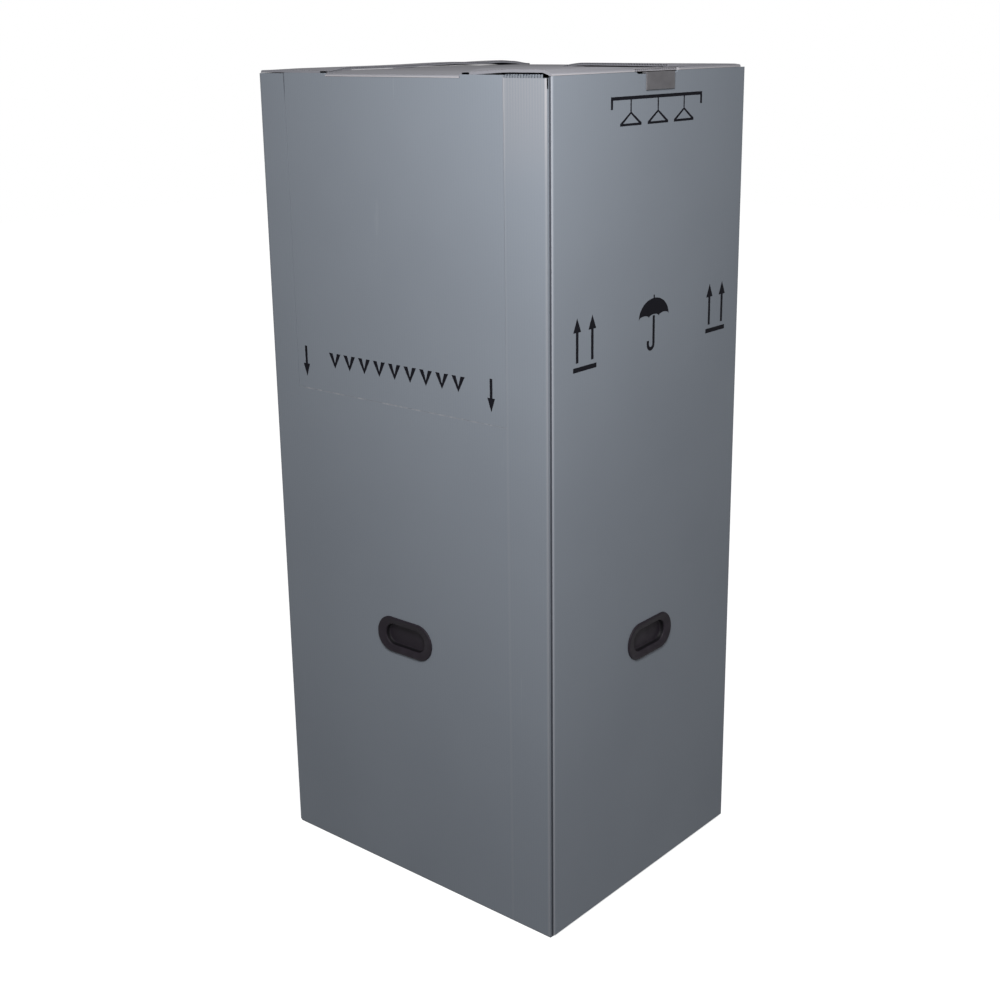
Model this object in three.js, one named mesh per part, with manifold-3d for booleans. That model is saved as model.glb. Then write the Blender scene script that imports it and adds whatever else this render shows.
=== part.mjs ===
// A wardrobe moving box of grey twin-wall plastic board, folded from one die-cut sheet.
// A door in the front folds down, a steel hanger rail hooks over the two side walls,
// and a black moulded hand grip is snapped into each wall.
// Millimetres, +Z up. The origin is the middle of the base, and the door faces -Y.
import * as THREE from 'three';
import { mergeVertices } from 'three/addons/utils/BufferGeometryUtils.js';
import Module from 'manifold-3d';

const wasm = await Module();
wasm.setup();

// The board and the box
const width = 600;
const depth = 510;
const rimHeight = 1352;
const board = 4;
const foldRadius = 3.6;
const gap = 0.3;
const slotWidth = 5;

// The door in the front wall
const doorLeft = -240;
const doorRight = 216.5;
const doorSill = 841;
const doorCut = 0.6;
const shoulderRise = 0.8;

// The strip beside the door, whose top shows its torn-open cells
const stripShort = 3;
const stripTop = rimHeight - stripShort;
const tornHeight = 5;
const cellPitch = 5;
const cellWeb = 1;
const cellLiner = 0.8;

// The glue tab behind that strip
const tabWidth = 45;
const tabStandOff = 1.2;
const stripSetBack = 4.5;

// Top flaps, each from its crease to its free edge
const sideFlapLeft = 154;
const sideFlapRight = 164;
const backFlap = 209;
const flapClearance = 1.6;
const flapMeeting = 1.5;
const frontFlap = depth - backFlap - flapMeeting;

// How the closed top flaps lie: how far each springs up, and how quickly it leaves its crease
const sideRise = 4.2;
const riseReach = 60;
const insideRise = 3.2;
const doorFlapRise = 4;
const nearShare = 0.4;
const nearCurl = 95;
const tipRise = 0.6;
const cornerCurl = 45;
const edgeArch = { rise: 2.5, centre: 40, reach: 62 };
const rearArch = { rise: 2.4, centre: 168, reach: 30 };
const edgeRise = 0.4;
const flatFrom = -110;
const flatTo = 15;
const backLift = 5.1;
const backLiftReach = 14;
const backSpring = 10.6;
const backSag = 1.6;
const pressedDown = 3.6;

// The notch in each side wall, and the rail that hangs in it
const notchTop = 133;
const notchBottom = 101;
const notchDepth = 3.4;
const notchCentre = 5.5;
const railSheet = 2;
const railEnd = 74;
const railCentre = 11.5;
const railHook = 25.8;
const railDrop = 32.6;
const railWidth = 30;
const railFlange = 12;
const railClearance = 0.3;

// The hand grips
const gripHeight = 443;
const gripLength = 123;
const gripTall = 63;
const gripProud = 3;
const gripHoleLength = 95;
const gripHoleTall = 45;
const gripClearance = 0.4;
const gripMouthLength = 88;
const gripMouthTall = 38;
const gripPocket = 8;
const gripWall = 2.4;
const frameLength = 118;
const frameTall = 58;
const frameThickness = 4;
const gripOffset = { front: -10, right: 7, back: 0, left: 7 };

const halfWidth = width / 2;
const halfDepth = depth / 2;
const doorTop = rimHeight - board - gap;
const clamp01 = (t) => Math.min(1, Math.max(0, t));
const smooth = (from, to, at) => {
  const t = clamp01((at - from) / (to - from));
  return t * t * (3 - 2 * t);
};
const arch = ({ rise, centre, reach }, at) => rise * Math.exp(-(((at - centre) / reach) ** 2));

// Geometry into a solid, and back into a named mesh
function solid(geometry) {
  const bare = geometry.clone();
  bare.deleteAttribute('normal');
  bare.deleteAttribute('uv');
  const merged = mergeVertices(bare, 1e-4);
  return new wasm.Manifold(new wasm.Mesh({
    numProp: 3,
    vertProperties: new Float32Array(merged.attributes.position.array),
    triVerts: new Uint32Array(merged.index.array),
  }));
}

function geometryOf(body) {
  const mesh = body.getMesh();
  const geometry = new THREE.BufferGeometry();
  geometry.setAttribute('position', new THREE.BufferAttribute(mesh.vertProperties, 3));
  geometry.setIndex(new THREE.BufferAttribute(mesh.triVerts, 1));
  geometry.computeVertexNormals();
  return geometry;
}

function block(x0, x1, y0, y1, z0, z1) {
  const box = new THREE.BoxGeometry(x1 - x0, y1 - y0, z1 - z0);
  box.translate((x0 + x1) / 2, (y0 + y1) / 2, (z0 + z1) / 2);
  return solid(box);
}

// An upright prism over a plan outline
function upright(shape, z0, z1) {
  const prism = new THREE.ExtrudeGeometry(shape, { depth: z1 - z0, bevelEnabled: false, curveSegments: 5 });
  prism.translate(0, 0, z0);
  return solid(prism);
}

// A prism along Y over an outline drawn in X and Z
function through(shape, y0, y1) {
  const prism = new THREE.ExtrudeGeometry(shape, { depth: y1 - y0, bevelEnabled: false, curveSegments: 10 });
  prism.rotateX(Math.PI / 2);
  prism.translate(0, y1, 0);
  return solid(prism);
}

// A closed slab: a grid of top points over a grid of bottom points, joined round the rim
function slab(us, vs, point) {
  const across = us.length;
  const along = vs.length;
  const positions = [];
  for (const side of [1, 0]) {
    for (const v of vs) {
      for (const u of us) positions.push(...point(u, v, side));
    }
  }
  const layer = across * along;
  const at = (i, j, side) => (1 - side) * layer + j * across + i;
  const faces = [];
  const quad = (a, b, c, d) => faces.push(a, b, c, a, c, d);
  for (let j = 0; j + 1 < along; j += 1) {
    for (let i = 0; i + 1 < across; i += 1) {
      quad(at(i, j, 1), at(i + 1, j, 1), at(i + 1, j + 1, 1), at(i, j + 1, 1));
      quad(at(i, j, 0), at(i, j + 1, 0), at(i + 1, j + 1, 0), at(i + 1, j, 0));
    }
  }
  for (let i = 0; i + 1 < across; i += 1) {
    quad(at(i, 0, 0), at(i + 1, 0, 0), at(i + 1, 0, 1), at(i, 0, 1));
    quad(at(i + 1, along - 1, 0), at(i, along - 1, 0), at(i, along - 1, 1), at(i + 1, along - 1, 1));
  }
  for (let j = 0; j + 1 < along; j += 1) {
    quad(at(0, j + 1, 0), at(0, j, 0), at(0, j, 1), at(0, j + 1, 1));
    quad(at(across - 1, j, 0), at(across - 1, j + 1, 0), at(across - 1, j + 1, 1), at(across - 1, j, 1));
  }
  const geometry = new THREE.BufferGeometry();
  geometry.setAttribute('position', new THREE.Float32BufferAttribute(positions, 3));
  geometry.setIndex(faces);
  const body = solid(geometry);
  if (body.volume() < 0) throw new Error('slab is inside out');
  return body;
}

// Steps across a flap: close together round the fold, then even out to its free edge
function flapSteps(length, count) {
  const steps = [0, 0.12, 0.35, 0.65, 1].map((t) => t * foldRadius);
  for (let i = 1; i <= count; i += 1) steps.push(foldRadius + ((length - foldRadius) * i) / count);
  return steps;
}

function evenSteps(from, to, count) {
  return Array.from({ length: count + 1 }, (_, i) => from + ((to - from) * i) / count);
}

// The outside of a fold: the outer liner turns a quarter circle from the wall into the flap
function foldDrop(inward) {
  const short = Math.max(0, foldRadius - inward);
  return foldRadius - Math.sqrt(foldRadius * foldRadius - short * short);
}

const sideFlapFront = -halfDepth + slotWidth;
const sideFlapBack = halfDepth - 3 * slotWidth;
const leftEdge = -halfWidth + sideFlapLeft;
const rightEdge = halfWidth - sideFlapRight;
const backEdge = halfDepth - backFlap;

// Underside of each closed top flap above its own crease, at a point of the plan
function leftUnder(inward, y) {
  const corner = smooth(0, cornerCurl, y - sideFlapFront) * smooth(0, cornerCurl, halfDepth - slotWidth - y);
  const edge = smooth(riseReach / 3, sideFlapLeft, inward);
  const nearEnd = 1 - smooth(0, cornerCurl, y - sideFlapFront);
  const farEnd = (1 - edge) * (1 - smooth(0, cornerCurl, halfDepth - slotWidth - y));
  const ends = 1 - (1 - nearShare) * Math.max(nearEnd, farEnd);
  const plateau = sideRise * ends * (1 - Math.exp(-inward / riseReach));
  return plateau * (1 - edge * (1 - corner)) + edge * corner * (arch(edgeArch, y) + arch(rearArch, y) + edgeRise);
}

// The right flap: raised towards the door, curled down at its near corner, pressed down by the back flap
function rightUnder(inward, y) {
  const nearCorner = 1 - smooth(sideFlapRight - nearCurl, sideFlapRight, inward)
    * (1 - smooth(0, cornerCurl, y - sideFlapFront));
  const front = 1 - smooth(flatFrom, flatTo, y);
  const pressed = smooth(foldRadius, 2.5 * foldRadius, inward) * smooth(backEdge + 6, backEdge + cornerCurl, y);
  return sideRise * smooth(foldRadius, 4 * foldRadius, inward) * nearCorner * front - pressedDown * pressed;
}

function frontUnder(inward) {
  return doorFlapRise * smooth(board, cornerCurl, inward) + tipRise * smooth(0.8 * frontFlap, frontFlap, inward);
}

// The back flap: low under the left flap, stepped up over the right one, and sprung at its free edge
function backUnder(inward, x) {
  const underLeft = smooth(-halfWidth + 6, leftEdge + 10, x);
  const plain = insideRise * underLeft * smooth(board, cornerCurl, inward);
  const overRight = smooth(rightEdge - 75, rightEdge - 6, x);
  const outward = clamp01((x - rightEdge) / (halfWidth - rightEdge));
  const sprung = backLift * smooth(0, backLiftReach, inward)
    + (backSpring - backLift) * clamp01((inward - backLiftReach) / (backFlap - backLiftReach))
    - backSag * outward * outward * smooth(riseReach, backFlap, inward);
  return plain + overRight * (sprung - plain);
}

// A flap about the height of its crease, as a slab whose place function maps inward and along
function flapSlab(length, from, to, crease, under, place, counts) {
  return slab(flapSteps(length, counts[0]), evenSteps(from, to, counts[1]), (inward, along, side) => {
    const bottom = crease + under(inward, along);
    const top = bottom + board - foldDrop(inward);
    return place(inward, along, side ? top : bottom);
  });
}

// Places on each flap, with the count along the wall turned so that the slab's faces point outwards
const fromLeft = (inward, along, z) => [-halfWidth + inward, along, z];
const fromRight = (inward, along, z) => [halfWidth - inward, -along, z];
const fromFront = (inward, along, z) => [-along, -halfDepth + inward, z];
const fromBack = (inward, along, z) => [along, halfDepth - inward, z];

// Materials
const greyBoard = new THREE.MeshStandardMaterial({ color: 0x7d868f, roughness: 0.5, metalness: 0 });
const blackMoulding = new THREE.MeshStandardMaterial({ color: 0x242127, roughness: 0.45, metalness: 0 });
const zincSheet = new THREE.MeshStandardMaterial({ color: 0x77737a, roughness: 0.42, metalness: 0.9 });

const wardrobeBox = new THREE.Group();

function add(name, body, material, turn = 0, place = [0, 0, 0]) {
  const mesh = new THREE.Mesh(geometryOf(body), material);
  mesh.name = name;
  mesh.rotation.z = turn;
  mesh.position.set(...place);
  wardrobeBox.add(mesh);
}

// The walls in plan: folded at three corners, glued at the fourth with the tab behind the strip
function wallsOutline() {
  const quarter = Math.PI / 2;
  const r = foldRadius;
  const shape = new THREE.Shape();
  const tabFace = -halfDepth + board + tabStandOff;
  shape.moveTo(halfWidth - stripSetBack, -halfDepth);
  shape.lineTo(halfWidth - stripSetBack, -halfDepth + board);
  shape.lineTo(halfWidth - 3 * board, -halfDepth + board);
  shape.lineTo(halfWidth - 3 * board, tabFace);
  shape.lineTo(halfWidth - r, tabFace);
  shape.absarc(halfWidth - r, tabFace + r, r, -quarter, 0, false);
  shape.absarc(halfWidth - r, halfDepth - r, r, 0, quarter, false);
  shape.absarc(-halfWidth + r, halfDepth - r, r, quarter, 2 * quarter, false);
  shape.absarc(-halfWidth + r, -halfDepth + r, r, 2 * quarter, 3 * quarter, false);
  const inside = new THREE.Path();
  inside.moveTo(-halfWidth + board, -halfDepth + board);
  inside.lineTo(-halfWidth + board, halfDepth - board);
  inside.lineTo(halfWidth - board, halfDepth - board);
  inside.lineTo(halfWidth - board, tabFace + board);
  inside.lineTo(halfWidth - tabWidth, tabFace + board);
  inside.lineTo(halfWidth - tabWidth, -halfDepth + board);
  shape.holes.push(inside);
  return shape;
}

// The notch that the rail hangs in, cut down from the crease of a side wall
function notch(side) {
  const shape = new THREE.Shape();
  const floor = rimHeight - notchDepth;
  const lip = rimHeight + 2 * board;
  shape.moveTo(notchCentre - notchBottom / 2, floor);
  shape.lineTo(notchCentre + notchBottom / 2, floor);
  shape.lineTo(notchCentre + notchTop / 2, lip);
  shape.lineTo(notchCentre - notchTop / 2, lip);
  const prism = new THREE.ExtrudeGeometry(shape, { depth: 3 * board, bevelEnabled: false });
  prism.rotateX(Math.PI / 2);
  prism.rotateZ(Math.PI / 2);
  prism.translate(side > 0 ? halfWidth - 1.5 * board : -halfWidth - 1.5 * board, 0, 0);
  return solid(prism);
}

// A run of points round a stadium outline, long in X and round at both ends
function stadium(length, tall, inward) {
  const radius = tall / 2;
  const straight = (length - tall) / 2;
  const steps = 9;
  const points = [];
  for (const end of [1, -1]) {
    for (let i = 0; i <= steps; i += 1) {
      const angle = end * (Math.PI / 2) - (Math.PI * i) / steps;
      points.push([end * straight + radius * Math.cos(angle), inward, radius * Math.sin(angle)]);
    }
  }
  return points;
}

// Rings joined one to the next; the ends are closed by a face, or the last ring meets the first
function loft(rings, closed) {
  const count = rings[0].length;
  const positions = rings.flat(2);
  const faces = [];
  const pairs = closed ? rings.length : rings.length - 1;
  for (let k = 0; k < pairs; k += 1) {
    const here = k * count;
    const next = ((k + 1) % rings.length) * count;
    for (let i = 0; i < count; i += 1) {
      const j = (i + 1) % count;
      faces.push(here + i, next + j, here + j, here + i, next + i, next + j);
    }
  }
  if (!closed) {
    const last = (rings.length - 1) * count;
    for (let i = 1; i + 1 < count; i += 1) {
      faces.push(0, i, i + 1);
      faces.push(last, last + i + 1, last + i);
    }
  }
  const geometry = new THREE.BufferGeometry();
  geometry.setAttribute('position', new THREE.Float32BufferAttribute(positions, 3));
  geometry.setIndex(faces);
  return solid(geometry);
}

// One moulded grip, drawn for the front wall: y counts inward from the wall's outer face
function gripShell() {
  const bodyLength = gripHoleLength - 2 * gripClearance;
  const bodyTall = gripHoleTall - 2 * gripClearance;
  const back = gripPocket + gripWall;
  return loft([
    stadium(bodyLength - 3, bodyTall - 3, back),
    stadium(bodyLength, bodyTall, back - 1.5),
    stadium(bodyLength, bodyTall, -gap),
    stadium(gripLength, gripTall, -gap),
    stadium(gripLength, gripTall, -gap - 1),
    stadium(gripLength - 1.6, gripTall - 1.6, -gripProud + 0.5),
    stadium(gripLength - 4, gripTall - 4, -gripProud),
    stadium(gripLength - 8, gripTall - 8, -gripProud),
    stadium(gripMouthLength + 3, gripMouthTall + 3, -1),
    stadium(gripMouthLength, gripMouthTall, 0.6),
    stadium(gripMouthLength - 3, gripMouthTall - 3, gripPocket - 2),
    stadium(gripMouthLength - 8, gripMouthTall - 8, gripPocket),
  ], false);
}

// The frame pushed over the grip's body from inside the box, against the wall
function gripFrame() {
  const near = board + gap;
  const holeLength = gripHoleLength;
  const holeTall = gripHoleTall;
  return loft([
    stadium(holeLength, holeTall, near),
    stadium(holeLength, holeTall, near + frameThickness),
    stadium(frameLength - 2, frameTall - 2, near + frameThickness),
    stadium(frameLength, frameTall, near + frameThickness - 1),
    stadium(frameLength, frameTall, near),
  ], true);
}

// Where each wall's grip stands: a turn about Z and the middle of the grip on the wall's face
const gripPlaces = {
  front: { turn: 0, place: [gripOffset.front, -halfDepth, gripHeight] },
  right: { turn: Math.PI / 2, place: [halfWidth, gripOffset.right, gripHeight] },
  back: { turn: Math.PI, place: [gripOffset.back, halfDepth, gripHeight] },
  left: { turn: -Math.PI / 2, place: [-halfWidth, gripOffset.left, gripHeight] },
};

function gripHole({ turn, place }) {
  const shape = new THREE.Shape();
  const radius = gripHoleTall / 2;
  const straight = (gripHoleLength - gripHoleTall) / 2;
  shape.absarc(straight, 0, radius, -Math.PI / 2, Math.PI / 2, false);
  shape.absarc(-straight, 0, radius, Math.PI / 2, 1.5 * Math.PI, false);
  const degrees = (turn * 180) / Math.PI;
  return through(shape, -board, 2 * board).rotate([0, 0, degrees]).translate(place);
}

// The folded sheet that doesn't move: four walls, tab, bottom flaps, right and back top flaps
function foldedSheet() {
  let sheet = upright(wallsOutline(), board + gap, rimHeight);
  const inX = halfWidth - board;
  const inY = halfDepth - board;

  // The back wall stops one board lower, under the side flaps; the front wall ends in the post and the strip
  sheet = sheet.subtract(block(-inX, inX, inY - 1, halfDepth + 1, doorTop, rimHeight + 1));
  sheet = sheet.subtract(block(doorLeft, halfWidth - 2.2 * board, -halfDepth - 1, -inY + 2 * board, stripTop, rimHeight + 1));
  sheet = sheet.subtract(block(-halfWidth - 1, doorLeft, -halfDepth - 1, halfDepth + 1, rimHeight - gap, rimHeight + 1));
  sheet = sheet.subtract(block(doorLeft, doorRight, -halfDepth - 1, -inY + 1, doorSill, rimHeight + 1));

  // Torn cells at the top of the strip: the inner liner and the webs stand, the outer liner is gone
  const tornFrom = doorRight + 2;
  const tornTo = halfWidth - 3.5 * board;
  sheet = sheet.add(block(tornFrom, tornTo, -inY - cellLiner, -inY, stripTop - 1, stripTop + tornHeight));
  const cells = Math.max(2, Math.floor((tornTo - tornFrom) / cellPitch));
  for (let i = 0; i <= cells; i += 1) {
    const x = tornFrom + ((tornTo - tornFrom - cellWeb) * i) / cells;
    sheet = sheet.add(block(x, x + cellWeb, -halfDepth + cellLiner, -inY, stripTop - 1, stripTop + tornHeight));
  }

  // Bottom flaps: the front and back ones outside, the side ones folded in above them
  const seam = flapClearance / 2;
  for (const side of [-1, 1]) {
    const round = new THREE.Shape();
    round.moveTo(side * seam, 0);
    round.lineTo(side * (halfDepth - foldRadius), 0);
    round.absarc(side * (halfDepth - foldRadius), foldRadius, foldRadius, -Math.PI / 2, side > 0 ? 0 : -Math.PI, side < 0);
    round.lineTo(side * halfDepth, board + 3);
    round.lineTo(side * (halfDepth - board), board + 3);
    round.lineTo(side * (halfDepth - board), board);
    round.lineTo(side * seam, board);
    const strip = new THREE.ExtrudeGeometry(round, { depth: width - 2 * slotWidth, bevelEnabled: false, curveSegments: 5 });
    strip.rotateX(Math.PI / 2);
    strip.rotateZ(Math.PI / 2);
    strip.translate(-halfWidth + slotWidth, 0, 0);
    sheet = sheet.add(solid(strip));
    const low = board + gap;
    const tuck = halfDepth - slotWidth - board;
    sheet = sheet.add(side > 0
      ? block(halfWidth - halfDepth, inX + 1, -tuck, tuck, low, low + board)
      : block(-inX - 1, -halfWidth + halfDepth, -tuck, tuck, low, low + board));
  }

  // The right top flap, over the front one and under the back one, rooted on the wall's crease
  const rightFlap = flapSlab(sideFlapRight, -sideFlapBack, -sideFlapFront, rimHeight,
    (inward, along) => rightUnder(inward, -along), fromRight, [12, 26]);
  const rightRoot = block(halfWidth - board + 0.4, halfWidth, sideFlapFront, sideFlapBack,
    rimHeight - 1, rimHeight + board - foldRadius);
  sheet = sheet.add(rightFlap).add(rightRoot);

  // The back top flap, rooted on the back wall
  const backFrom = -halfWidth + board + slotWidth;
  const backTo = halfWidth - board - slotWidth;
  const backSlab = flapSlab(backFlap, backFrom, backTo, doorTop, backUnder, fromBack, [12, 30]);
  const backRoot = block(backFrom, backTo, halfDepth - board + 0.4, halfDepth,
    doorTop - 1, doorTop + board - foldRadius);
  sheet = sheet.add(backSlab).add(backRoot);

  for (const side of [-1, 1]) sheet = sheet.subtract(notch(side));
  for (const spot of Object.values(gripPlaces)) sheet = sheet.subtract(gripHole(spot));
  return sheet;
}

// The door panel, cut free on three sides and creased along its sill. Its top steps up to a shoulder
// on each side of its own flap, in front of the side flaps.
function doorPanel() {
  const shoulder = rimHeight + shoulderRise;
  const shape = new THREE.Shape();
  shape.moveTo(doorLeft + doorCut, doorSill + gap);
  shape.lineTo(doorRight - doorCut, doorSill + gap);
  shape.lineTo(doorRight - doorCut, shoulder);
  shape.lineTo(rightEdge, shoulder);
  shape.lineTo(rightEdge, doorTop);
  shape.lineTo(leftEdge, doorTop);
  shape.lineTo(leftEdge, shoulder);
  shape.lineTo(doorLeft + doorCut, shoulder);
  return through(shape, -halfDepth, -halfDepth + board);
}

// The door's own top flap: it lies between the two side flaps, so the door opens with it
function doorFlap() {
  const from = leftEdge + flapClearance;
  const to = rightEdge - flapClearance;
  return flapSlab(frontFlap, -to, -from, doorTop + gap, frontUnder, fromFront, [14, 6]);
}

// The left top flap, the outermost one, cut back at its root so that it clears the rail's hook
function leftFlap() {
  const flap = flapSlab(sideFlapLeft, sideFlapFront, halfDepth - slotWidth, rimHeight,
    leftUnder, fromLeft, [12, 32]);
  const relief = 2 * board;
  const half = railEnd / 2 + flapClearance;
  return flap.subtract(block(-halfWidth - 1, -halfWidth + relief, railCentre - half, railCentre + half,
    rimHeight - 1, rimHeight + 3 * board));
}

// The rail: a wide hook over each side wall, a leg down inside, and a channel across between them
function hangerRail() {
  const seat = rimHeight - notchDepth + railClearance;
  const outside = halfWidth + railClearance;
  const inside = halfWidth - board - railClearance;
  const barTop = seat + railSheet - railDrop;
  const y0 = railCentre - railEnd / 2;
  const y1 = railCentre + railEnd / 2;
  const half = railWidth / 2;
  const leg = inside - railSheet;
  let rail = block(-leg - 1, leg + 1, railCentre - half, railCentre + half, barTop - railSheet, barTop);
  for (const side of [-1, 1]) {
    const y = railCentre + side * half;
    rail = rail.add(block(-leg - 1, leg + 1, Math.min(y, y - side * railSheet), Math.max(y, y - side * railSheet),
      barTop - railFlange, barTop));
    const between = (a, b, z0, z1) => block(Math.min(side * a, side * b), Math.max(side * a, side * b), y0, y1, z0, z1);
    rail = rail.add(between(leg, outside + railSheet, seat, seat + railSheet));
    rail = rail.add(between(outside, outside + railSheet, seat + railSheet - railHook, seat + railSheet));
    const gusset = new THREE.Shape();
    gusset.moveTo(y0, seat + railSheet);
    gusset.lineTo(railCentre - half, barTop - railSheet);
    gusset.lineTo(railCentre + half, barTop - railSheet);
    gusset.lineTo(y1, seat + railSheet);
    const plate = new THREE.ExtrudeGeometry(gusset, { depth: railSheet, bevelEnabled: false });
    plate.rotateX(Math.PI / 2);
    plate.rotateZ(Math.PI / 2);
    plate.translate(side > 0 ? leg : -inside, 0, 0);
    rail = rail.add(solid(plate));
  }
  return rail;
}

add('folded_sheet', foldedSheet(), greyBoard);
add('door_panel', doorPanel(), greyBoard);
add('door_top_flap', doorFlap(), greyBoard);
add('left_top_flap', leftFlap(), greyBoard);
add('hanger_rail', hangerRail(), zincSheet);
for (const [wall, { turn, place }] of Object.entries(gripPlaces)) {
  add(`hand_grip_${wall}`, gripShell(), blackMoulding, turn, place);
  add(`grip_frame_${wall}`, gripFrame(), blackMoulding, turn, place);
}

export default wardrobeBox;
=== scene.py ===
# A wardrobe moving box of grey twin-wall board, closed, seen from the corner between its door and its right
# wall. Metres, +Z up. The door wall faces -Y. The sections follow the box as it is cut, folded and put
# together.
import math

import bmesh
import bpy
import numpy as np
from mathutils import Matrix, Vector


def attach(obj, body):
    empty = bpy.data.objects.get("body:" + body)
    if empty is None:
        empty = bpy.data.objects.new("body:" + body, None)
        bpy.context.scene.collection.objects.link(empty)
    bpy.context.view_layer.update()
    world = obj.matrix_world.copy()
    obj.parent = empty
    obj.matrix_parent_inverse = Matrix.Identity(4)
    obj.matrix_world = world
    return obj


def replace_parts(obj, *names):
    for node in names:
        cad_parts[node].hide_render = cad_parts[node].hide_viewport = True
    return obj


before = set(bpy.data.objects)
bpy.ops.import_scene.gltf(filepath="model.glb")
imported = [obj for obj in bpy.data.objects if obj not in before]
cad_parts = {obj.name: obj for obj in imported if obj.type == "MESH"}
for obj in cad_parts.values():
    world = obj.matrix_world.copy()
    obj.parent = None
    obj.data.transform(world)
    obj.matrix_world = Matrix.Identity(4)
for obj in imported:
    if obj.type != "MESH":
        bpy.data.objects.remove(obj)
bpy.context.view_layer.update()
scene = bpy.context.scene
scene.view_settings.view_transform = "Standard"


# Camera and studio
# A long lens looks a little down at the near corner. The floor and the backdrop are white paper. One soft box
# stands above the near corner, close to the box, so that the walls fall off towards the ground.
CAMERA_PLACE = Vector((1.5951, -1.8847, 1.4110))
CAMERA_AIM = Vector((-0.0087, -0.0074, 0.7042))
CAMERA_ROLL = -0.01324
FOCAL_PIXELS = 1478.7
PICTURE_PIXELS = 1000.0
AXIS_PIXELS_UP = 45.0
SENSOR = 36.0


def aimed(place, target, roll=0.0):
    """A matrix at place that looks along its own -Z at target, turned by roll about that line."""
    turn = (target - place).to_track_quat("-Z", "Y").to_matrix().to_4x4()
    return Matrix.Translation(place) @ turn @ Matrix.Rotation(roll, 4, "Z")


lens = bpy.data.cameras.new("studio_camera")
lens.sensor_width = SENSOR
lens.lens = FOCAL_PIXELS / PICTURE_PIXELS * SENSOR
lens.shift_y = -AXIS_PIXELS_UP / PICTURE_PIXELS
camera = bpy.data.objects.new("studio_camera", lens)
camera.matrix_world = aimed(CAMERA_PLACE, CAMERA_AIM, CAMERA_ROLL)
scene.collection.objects.link(camera)
scene.camera = camera


class Socket:
    """One output socket of a node tree. Python's operators on it add Math nodes."""

    def __init__(self, tree, socket):
        self.tree = tree
        self.socket = socket

    def math(self, operation, *others):
        return self.tree.node("ShaderNodeMath", {"operation": operation}, [self, *others])

    def __add__(self, other):
        return self.math("ADD", other)

    def __sub__(self, other):
        return self.math("SUBTRACT", other)

    def __rsub__(self, other):
        return self.tree.node("ShaderNodeMath", {"operation": "SUBTRACT"}, [other, self])

    def __mul__(self, other):
        return self.math("MULTIPLY", other)

    def wrapped(self, pitch):
        """The distance from the nearest whole multiple of pitch."""
        return self.math("PINGPONG", pitch / 2)

    def far_from(self, centre):
        """The distance from centre, on either side."""
        return (self - centre).math("ABSOLUTE")

    def ramp(self, low, high):
        """0 below low and 1 above high, eased between them, or falling if high is the lower one."""
        settings = {"interpolation_type": "SMOOTHSTEP"}
        if high > low:
            return self.tree.node("ShaderNodeMapRange", settings, [self, low, high, 0.0, 1.0])
        return 1 - self.ramp(high, low)

    def upto(self, other):
        return self.math("MINIMUM", other)

    __radd__ = __add__
    __rmul__ = __mul__


def with_alpha(value):
    """A colour of three numbers gets an alpha of 1. Anything else stays as it is."""
    return (*value, 1.0) if isinstance(value, tuple) and len(value) == 3 else value


class Finish:
    """A material whose nodes are added by one method, with numbers, colours or sockets as inputs."""

    def __init__(self, name):
        self.material = bpy.data.materials.new(name)
        self.material.use_nodes = True
        self.nodes = self.material.node_tree.nodes
        self.links = self.material.node_tree.links
        self.nodes.clear()

    def plug(self, target, value):
        if isinstance(value, Socket):
            self.links.new(value.socket, target)
        elif value is not None:
            target.default_value = value

    def node(self, kind, settings=None, inputs=(), output=0):
        """Adds a node. Inputs is a list in socket order, where None keeps the default, or a dict by name."""
        made = self.nodes.new(kind)
        for key, value in (settings or {}).items():
            setattr(made, key, value)
        named = inputs.items() if isinstance(inputs, dict) else enumerate(inputs)
        for key, value in named:
            self.plug(made.inputs[key], value)
        return Socket(self, made.outputs[output])

    def place(self):
        """The point in the object's own coordinates, which are the model's: x, y, z and the whole vector."""
        point = self.node("ShaderNodeTexCoord", output="Object")
        split = self.node("ShaderNodeSeparateXYZ", inputs=[point])
        outs = split.socket.node.outputs
        return Socket(self, outs[0]), Socket(self, outs[1]), Socket(self, outs[2]), point

    def attribute(self, name):
        return self.node("ShaderNodeAttribute", {"attribute_name": name}, output="Fac")

    def mix(self, share, colour_a, colour_b):
        """Colour a where share is 0 and colour b where it is 1."""
        made = self.nodes.new("ShaderNodeMix")
        made.data_type = "RGBA"
        for index, value in ((0, share), (6, colour_a), (7, colour_b)):
            self.plug(made.inputs[index], with_alpha(value))
        return Socket(self, made.outputs[2])

    def noise(self, point, scale, detail=2.0, stretch=(1.0, 1.0, 1.0)):
        mapped = self.node("ShaderNodeMapping", inputs={"Vector": point, "Scale": stretch})
        return self.node("ShaderNodeTexNoise", inputs={"Vector": mapped, "Scale": scale, "Detail": detail})

    def bump(self, height, strength, distance, normal=None):
        inputs = {"Height": height, "Strength": strength, "Distance": distance, "Normal": normal}
        return self.node("ShaderNodeBump", inputs=inputs)

    def surface(self, **inputs):
        """The main shader, with its inputs named as on the node, linked to the material's output."""
        shader = self.node("ShaderNodeBsdfPrincipled")
        for key, value in inputs.items():
            self.plug(shader.socket.node.inputs[key.replace("_", " ")], with_alpha(value))
        self.output(shader)
        return self.material

    def output(self, shader):
        end = self.nodes.new("ShaderNodeOutputMaterial")
        self.plug(end.inputs["Surface"], shader)


def flat_mesh(name, corners):
    """One face through the corners, as an object."""
    mesh = bpy.data.meshes.new(name)
    mesh.from_pydata(corners, [], [tuple(range(len(corners)))])
    piece = bpy.data.objects.new(name, mesh)
    scene.collection.objects.link(piece)
    return piece


WHITE = (1.0, 1.0, 1.0, 1.0)
PAPER_REACH = 9.0
PAPER_SEEN = (0.80, 0.80, 0.80)
PAPER_BOUNCE = (0.17, 0.17, 0.175)
PAPER_SHINE = 0.45
PAPER_LIFT = 0.80

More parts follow.
